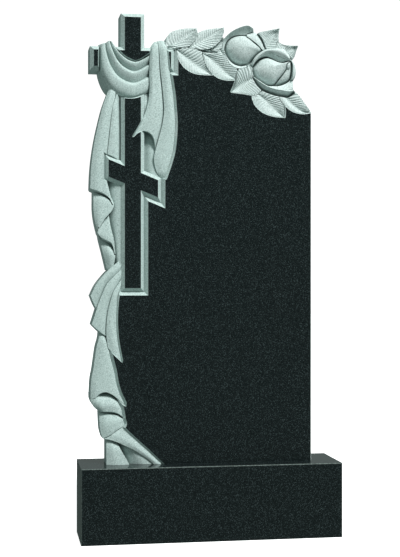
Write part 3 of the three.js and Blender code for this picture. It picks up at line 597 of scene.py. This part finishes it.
def second_bud():
    """The second bud, from the back: the hollow and rim of its outer petal, the petal to its right, the one
    below, its two inner petals with a curl at their point, and the long sepal."""
    return [
        sheet([
            [[124, 1086, 8], [142, 1101, 7], [160, 1108, 7], [180, 1105, 7], [199, 1097, 7], [222, 1086, 8]],
            [[130, 1070, 28], [146, 1088, 25], [164, 1086, 25], [182, 1080, 24], [200, 1074, 22],
             [216, 1072, 20]],
        ], folds=[(-2, 0.5)], mesh=LEAF_MESH),
        sheet([
            [[115, 1076, 14], [122, 1091, 11], [134, 1104, 10], [154, 1116, 9], [175, 1120, 9],
             [194, 1120, 9], [207, 1116, 9], [217, 1104, 10], [226, 1090, 12]],
            [[117, 1074, 8], [125, 1089, 4], [137, 1101, 3], [155, 1112, 2], [176, 1114, 2],
             [194, 1111, 2], [206, 1104, 3], [215, 1096, 4], [223, 1088, 6]],
            [[120, 1072, 12], [129, 1086, 8], [142, 1098, 7], [160, 1106, 7], [180, 1103, 7],
             [198, 1096, 8], [208, 1092, 8], [216, 1088, 8], [222, 1085, 9]],
        ]),
        sheet([
            [[221, 1095, 12], [233, 1081, 14], [238, 1061, 14], [236, 1044, 14], [229, 1032, 14]],
            [[222, 1088, 5], [228, 1074, 4], [230, 1060, 4], [229, 1046, 4], [224, 1034, 6]],
            [[220, 1084, 10], [223, 1072, 10], [224, 1060, 10], [223, 1048, 11], [217, 1036, 14]],
        ]),
        sheet([
            [[164, 1024, 22], [186, 1026, 22], [211, 1031, 20], [229, 1036, 16]],
            [[164, 1010, 7], [188, 1008, 6], [211, 1006, 6], [229, 1009, 6]],
        ], folds=[(2, 0.5)]),
        dome([[223, 1084, 14], [226, 1062, 16], [225, 1045, 20], [220, 1034, 24], [207, 1026, 26],
              [186, 1020, 26], [160, 1024, 26], [160, 1056, 24], [186, 1078, 20]],
             [192, 1058, 8]),
        dome([[221, 1085, 8], [209, 1083, 14], [197, 1083, 16], [185, 1087, 18], [172, 1093, 20],
              [160, 1097, 22], [147, 1095, 24], [134, 1088, 26], [124, 1076, 28], [118, 1059, 28],
              [123, 1043, 28], [134, 1032, 28], [148, 1025, 28], [163, 1020, 28], [178, 1021, 26],
              [191, 1036, 18], [199, 1047, 14], [207, 1058, 12], [212, 1067, 10], [217, 1076, 8]],
             [164, 1066, 0.5]),
        dome([[221, 1083, 9], [214, 1079, 8], [211, 1070, 9], [215, 1063, 10], [221, 1069, 10]],
             [217, 1074, 5], sides=32, rings=8),
        sheet([
            [[117, 1043, 9], [138, 1028, 6], [157, 1017, 5], [176, 1011, 5], [198, 1008, 5], [216, 1006, 5],
             [229, 1010, 8]],
            [[118, 1041, 6], [137, 1026, 1], [157, 1014, -1], [177, 1008, -1], [198, 1005, -1],
             [215, 1003, 0], [231, 1007, 6]],
            [[119, 1036, 20], [133, 1015, 25], [150, 1003, 26], [177, 994, 26], [199, 990, 26],
             [216, 989, 25], [231, 998, 22]],
        ]),
    ]


# The stone


def combine(base, others, operation):
    """Cuts or joins solids into the first one."""
    for other in others:
        step = base.modifiers.new("step", "BOOLEAN")
        step.operation, step.solver, step.object = operation, "MANIFOLD", other
    graph = bpy.context.evaluated_depsgraph_get()
    mesh = bpy.data.meshes.new_from_object(base.evaluated_get(graph))
    base.modifiers.clear()
    base.data = mesh
    for other in others:
        bpy.data.objects.remove(other)
    return base


def polished_field():
    """The polished face to the right of the cross. Its other edges lie under the carving."""
    side = FOOT_WIDTH / 2 - ARRIS
    return block([
        (side, -CLEARANCE), (side, SHOULDER),
        (262, 952), (215, 985), (150, 985), (118, 1012), (62, 1040), (0, 1064), (-40, 1078), (-80, 1100),
        (-92, 1116), (-130, 1114), (-135, 770), (-200, 740), (-205, 485), (-247, 485), (-262, 440),
        (-268, 330), (-282, 300), (-262, 200), (-262, 90), (-165, -CLEARANCE),
    ], ARRIS)


def ground():
    """The ground behind the carving closes every hollow."""
    return panel([
        (270, -CLEARANCE), (270, 935), (255, 962), (224, 1000), (226, 1100), (180, 1150), (100, 1165),
        (50, 1140), (20, 1160), (-100, 1150), (-160, 1105), (-290, 1105), (-285, 1050), (-258, 1000),
        (-285, 900), (-310, 750), (-290, 640), (-264, 530), (-300, 450), (-286, 350), (-310, 200),
        (-282, 90), (-268, 60), (-268, -CLEARANCE),
    ], GROUND).carried_back([(0, BACK + CLEARANCE)])


def blank():
    """The blank that the stone is cut from, with its flat bed and back."""
    wide, high, front = 400.0, STONE_HEIGHT + 100, -20.0
    corners = placed([(-wide, 0, front), (wide, 0, front), (wide, high, front), (-wide, high, front)])
    return Face(corners, [[0, 1, 2, 3]], range(4)).carried_back([(0, BACK)])


def cross_groove(corners):
    """The second bevel of the groove that runs beside the cross where it borders on the field."""
    face = panel(corners)
    face.points[face.rim] += BEVEL * face.outward(mitre=True)
    width = CROSS_GROOVE - OVERLAP
    return face.cutter(width + CLEARANCE, FACE + width, mitre=True)


def room_for(corners):
    """What clears the cloth round a bar of the cross, out to the edge of the bar's bevel."""
    face = panel(corners)
    face.points[face.rim] += (BEVEL - OVERLAP) * face.outward(mitre=True)
    return face.cutter(BAR_ROOM, FACE + BEVEL, mitre=True)


def layered(faces, line):
    """Carved faces laid over each other from the back, with a line cut round each."""
    whole = faces[0].relief()
    for face in faces[1:]:
        combine(whole, [face.cut_line(line)], "DIFFERENCE")
        combine(whole, [face.relief()], "UNION")
    return whole


def carve_stone():
    """The whole stone: the polished field with grooves beside the carving, the cross over it, the layers
    of cloth and the spray, all joined and trimmed to the blank."""
    falls, hanging = right_fall(), swag()
    beside_post, lining = right_lining()
    spread, lower, foot = fan(), lower_fall(), foot_fall()
    leaves = lower_leaves()
    stone = combine(polished_field(), [
        *(cross_groove(corners) for corners in (POST, ARM, FOOT_BAR)),
        *(face.groove(CLOTH_GROOVE) for face in falls + lower),
        *(face.groove(NARROW_GROOVE) for face in spread + foot),
        *(face.groove(LEAF_GROOVE) for face in leaves),
    ], "DIFFERENCE")
    cross = combine(block(POST, BEVEL), [block(ARM, BEVEL)], "UNION")
    combine(cross, [face.groove(SWAG_GROOVE) for face in (hanging, *falls)], "DIFFERENCE")
    left = layered(left_side(), CLOTH_LINE)
    groups = [
        combine(left, [room_for(POST), room_for(FOOT_BAR)], "DIFFERENCE"),
        layered([beside_post, hanging, lining, *falls], CLOTH_LINE),
        layered(spread, CLOTH_LINE),
        layered(foot + lower, CLOTH_LINE),
        layered([*stems(), *upper_leaves(), *leaves, *first_bud(), *second_bud()], LEAF_LINE),
    ]
    combine(stone, [cross, block(FOOT_BAR, BEVEL), ground(), *groups], "UNION")
    return combine(stone, [blank()], "INTERSECT")


# Finishes


class Value:
    """A shader value that can be used in sums."""

    def __init__(self, finish, socket):
        self.finish, self.socket = finish, socket

    def sum(self, operation, one, other):
        node = self.finish.node("Math", {"operation": operation}, {0: one, 1: other})
        return Value(self.finish, node.outputs[0])

    def __add__(self, other):
        return self.sum("ADD", self, other)

    def __radd__(self, other):
        return self.sum("ADD", other, self)

    def __sub__(self, other):
        return self.sum("SUBTRACT", self, other)

    def __rsub__(self, other):
        return self.sum("SUBTRACT", other, self)

    def __mul__(self, other):
        return self.sum("MULTIPLY", self, other)

    def __rmul__(self, other):
        return self.sum("MULTIPLY", other, self)


class Nodes:
    """The nodes of a finish or of the studio, and one way to add to them."""

    def __init__(self, tree):
        self.tree = tree

    def node(self, kind, settings=None, inputs=None):
        """A new node: its settings first, then the values or links of its sockets."""
        made = self.tree.nodes.new("ShaderNode" + kind)
        for name, value in (settings or {}).items():
            setattr(made, name, value)
        for name, value in (inputs or {}).items():
            self.feed(made.inputs[name], value)
        return made

    def feed(self, socket, value):
        """Links a value to a socket, or sets the socket to it."""
        if isinstance(value, Value):
            value = value.socket
        if isinstance(value, bpy.types.NodeSocket):
            self.tree.links.new(value, socket)
        else:
            socket.default_value = value


class Finish(Nodes):
    """A finish of the stone: a material with its fixed values, which is fed colour, gloss and grain."""

    def __init__(self, name, fixed):
        self.material = bpy.data.materials.new(name)
        self.material.use_nodes = True
        super().__init__(self.material.node_tree)
        self.shader = self.tree.nodes["Principled BSDF"]
        for socket, value in fixed.items():
            self.shader.inputs[socket].default_value = value
        self.place = self.node("TexCoord").outputs["Object"]

    def vary(self, socket, value):
        """Feeds a socket of the shader with what changes over the surface."""
        self.feed(self.shader.inputs[socket], value)

    def bump(self, height, strength, distance):
        """Roughens the surface by a height."""
        made = self.node("Bump", {}, {"Height": height, "Strength": strength, "Distance": distance})
        self.vary("Normal", made.outputs[0])

    def noise(self, scale, detail, roughness=0.5):
        """Soft clouds, from 0 to 1."""
        made = self.node("TexNoise", {}, {"Vector": self.place, "Scale": scale, "Detail": detail,
                                          "Roughness": roughness})
        return Value(self, made.outputs[0])

    def cells(self, scale):
        """Crystals: cells, each with a value of its own from 0 to 1."""
        made = self.node("TexVoronoi", {}, {"Vector": self.place, "Scale": scale})
        parts = self.node("SeparateColor", {}, {0: made.outputs["Color"]})
        return Value(self, parts.outputs[0])

    def openness(self, distance):
        """How open the surface is, from 0 down in a crease to 1."""
        made = self.node("AmbientOcclusion", {"samples": 12, "only_local": True}, {"Distance": distance})
        return Value(self, made.outputs["AO"])

    def step(self, value, low, high):
        """A smooth step from 0, up to low, to 1, from high on."""
        made = self.node("MapRange", {"interpolation_type": "SMOOTHSTEP"},
                         {"Value": value, "From Min": low, "From Max": high})
        return Value(self, made.outputs[0])

    def blend(self, share, one, other):
        """One colour with a share of the other."""
        made = self.node("Mix", {"data_type": "RGBA"}, {0: share, 6: one, 7: other})
        return made.outputs[2]


def tone(red, green, blue):
    """A colour given as it looks on a screen, from 0 to 255."""

    def linear(value):
        value /= 255
        return value / 12.92 if value <= 0.04045 else ((value + 0.055) / 1.055) ** 2.4

    return (linear(red), linear(green), linear(blue), 1.0)


def carved_finish(name, low, high, reach):
    """Granite as the chisel leaves it: matt, finely speckled and pale, with painted shade that darkens it
    down in the creases.
    """
    finish = Finish(name, {"Roughness": 0.85, "Specular IOR Level": 0.25})
    grain, cloud = finish.noise(420.0, 2.0, 0.7), finish.noise(14.0, 3.0)
    # Painted shade: a mask of how closed in the surface is, strongest down in creases and grooves.
    crease = finish.step(1 - finish.openness(reach), 0.16, 0.8)
    speck = finish.step(finish.cells(420.0), 0.9, 0.95)
    colour = finish.blend(finish.step(grain, 0.36, 0.66), low, high)
    colour = finish.blend(0.25 * finish.step(cloud, 0.3, 0.7), colour, tone(176, 198, 193))
    # Painted shade: the colour darkens towards a deep green-grey where that mask is strong.
    colour = finish.blend(0.75 * crease, colour, tone(84, 104, 99))
    finish.vary("Base Color", finish.blend(0.3 * speck, colour, tone(96, 110, 106)))
    finish.bump(grain, 0.25, 0.0004)
    return finish.material


def polished_finish():
    """Polished dark granite: near black and finely grained, with sparse pale crystals."""
    finish = Finish("polished_granite", {"Specular IOR Level": 0.2})
    grain, fleck = finish.cells(1200.0), finish.step(finish.cells(900.0), 0.88, 0.97)
    colour = finish.blend(grain, tone(6, 12, 13), tone(29, 38, 38))
    finish.vary("Base Color", finish.blend(0.8 * fleck, colour, tone(82, 96, 97)))
    finish.vary("Roughness", 0.1 + 0.1 * fleck)
    return finish.material


def honed_finish():
    """Fine-ground dark granite, as the plinth has on its ends, its back and its arrises."""
    finish = Finish("honed_granite", {"Roughness": 0.6, "Specular IOR Level": 0.15})
    grain = finish.step(finish.cells(430.0), 0.2, 1.0)
    finish.vary("Base Color", finish.blend(grain, tone(74, 85, 82), tone(112, 124, 120)))
    return finish.material


def sawn_finish():
    """The stone's back: dull, with a fine grain."""
    finish = Finish("sawn_granite", {"Roughness": 0.7, "Specular IOR Level": 0.3})
    grain = finish.noise(380.0, 2.0, 0.65)
    colour = finish.blend(finish.step(grain, 0.36, 0.66), tone(84, 94, 92), tone(122, 132, 128))
    finish.vary("Base Color", colour)
    finish.bump(grain, 0.15, 0.0003)
    return finish.material


# The last number is how far the painted shade in the creases reaches, in metres.
cloth_finish = carved_finish("carved_granite", tone(168, 189, 185), tone(210, 228, 224), 0.018)
spray_finish = carved_finish("finely_carved_granite", tone(186, 203, 200), tone(232, 243, 241), 0.012)
polished, sawn, honed = polished_finish(), sawn_finish(), honed_finish()

# The finishes of the stone by number.
CLOTH, POLISHED, SAWN, SPRAY = range(4)
# How straight a plain face looks to one side, the front most of all, and how near it lies to its place.
FLAT, FRONT_FLAT = 0.999, 0.9999
NEAR_FACE, NEAR_SIDE = 0.002, 0.1
# Where the spray begins, and where it does above the stem.
SPRAY_LEFT, STEM_LEFT, STEM_HEIGHT = -94.0, -121.0, 1112.0
SHARP_ANGLE = math.radians(32)


def finish_at(face):
    """The finish of a face of the stone."""
    across, deep, up = 1000 * face.center
    if face.normal.y < -FRONT_FLAT and abs(deep - FACE) < NEAR_FACE:
        return POLISHED
    if face.normal.x > FLAT and across > FOOT_WIDTH / 2 - NEAR_SIDE:
        return POLISHED
    if face.normal.y > FLAT:
        return SAWN
    in_spray = across > SPRAY_LEFT or (across > STEM_LEFT and up > FOOT + STEM_HEIGHT)
    return SPRAY if in_spray else CLOTH


# The cuts can leave a face twice, and they leave an empty slot for a material.
stone = carve_stone()
stone.data.validate()
stone.data.materials.clear()
stone.name = stone.data.name = "carved_stone"
for material in (cloth_finish, polished, sawn, spray_finish):
    stone.data.materials.append(material)
for face in stone.data.polygons:
    face.material_index = finish_at(face)
    face.use_smooth = face.material_index in (CLOTH, SPRAY)
stone.data.set_sharp_from_angle(angle=SHARP_ANGLE)
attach(stone, "root")
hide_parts("stele")

# The plinth is polished on its front and top, and honed on its ends, its back and its arrises.
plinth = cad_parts["plinth"]
plinth.data.materials.clear()
for material in (polished, honed):
    plinth.data.materials.append(material)
for face in plinth.data.polygons:
    arris = max(map(abs, face.normal)) < 0.9
    face.material_index = int(arris or abs(face.normal.x) > 0.9 or face.normal.y > 0.9)

# Floor, light and camera

# The floor glows as pale as the studio and throws no light back onto the stone.
floor_mesh = bpy.data.meshes.new("floor")
reach = 20
corners = [(-reach, -reach, 0), (reach, -reach, 0), (reach, reach, 0), (-reach, reach, 0)]
floor_mesh.from_pydata(corners, [], [[0, 1, 2, 3]])
floor = bpy.data.objects.new("floor", floor_mesh)
bpy.context.scene.collection.objects.link(floor)
pale = Finish("pale_floor", {"Base Color": tone(245, 246, 246), "Roughness": 0.9,
                             "Emission Color": (1.0, 1.0, 1.0, 1.0), "Emission Strength": 0.95})
floor_mesh.materials.append(pale.material)
floor.visible_diffuse = False
floor.visible_glossy = False

# The studio is white behind the stone and lights it softly from all round.
world = bpy.data.worlds.new("studio")
bpy.context.scene.world = world
world.use_nodes = True
studio = Nodes(world.node_tree)
soft = studio.tree.nodes["Background"]
studio.feed(soft.inputs["Color"], (0.84, 1.0, 0.96, 1.0))
studio.feed(soft.inputs["Strength"], 0.24)
white = studio.node("Background", {}, {"Color": (1.0, 1.0, 1.0, 1.0), "Strength": 1.1})
seen = studio.node("LightPath").outputs["Is Camera Ray"]
choice = studio.node("MixShader", {}, {0: seen, 1: soft.outputs[0], 2: white.outputs[0]})
studio.feed(studio.tree.nodes["World Output"].inputs["Surface"], choice.outputs[0])

# One large lamp, high in front on the right, shines on the stone's middle.
aim, lamp_distance = Vector((0.0, 0.0, 0.8)), 12.0
key = bpy.data.lights.new("key", "AREA")
key.shape, key.size, key.energy = "DISK", 3.0, 1700
lamp = bpy.data.objects.new("key", key)
bpy.context.scene.collection.objects.link(lamp)
lamp.location = aim + lamp_distance * Vector((0.5, -0.95, 1.25)).normalized()
lamp.rotation_euler = (aim - lamp.location).to_track_quat("-Z", "Y").to_euler()

# The photo's view, in its pixels: its long side, its focal length and the row at the camera's height.
long_side, focal, level_row, turn = 557.0, 1217.1, 278.7, 0.163
lens = bpy.data.cameras.new("camera")
camera = bpy.data.objects.new("camera", lens)
bpy.context.scene.collection.objects.link(camera)
bpy.context.scene.camera = camera
lens.sensor_width = 36.0
lens.lens = focal / long_side * lens.sensor_width
lens.shift_y = (level_row - long_side / 2) / long_side
lens.clip_end = 100.0
camera.location = (-0.5582, -3.2589, 0.6947)
camera.rotation_euler = Vector((math.sin(turn), math.cos(turn), 0.0)).to_track_quat("-Z", "Y").to_euler()
bpy.context.scene.view_settings.view_transform = "Standard"
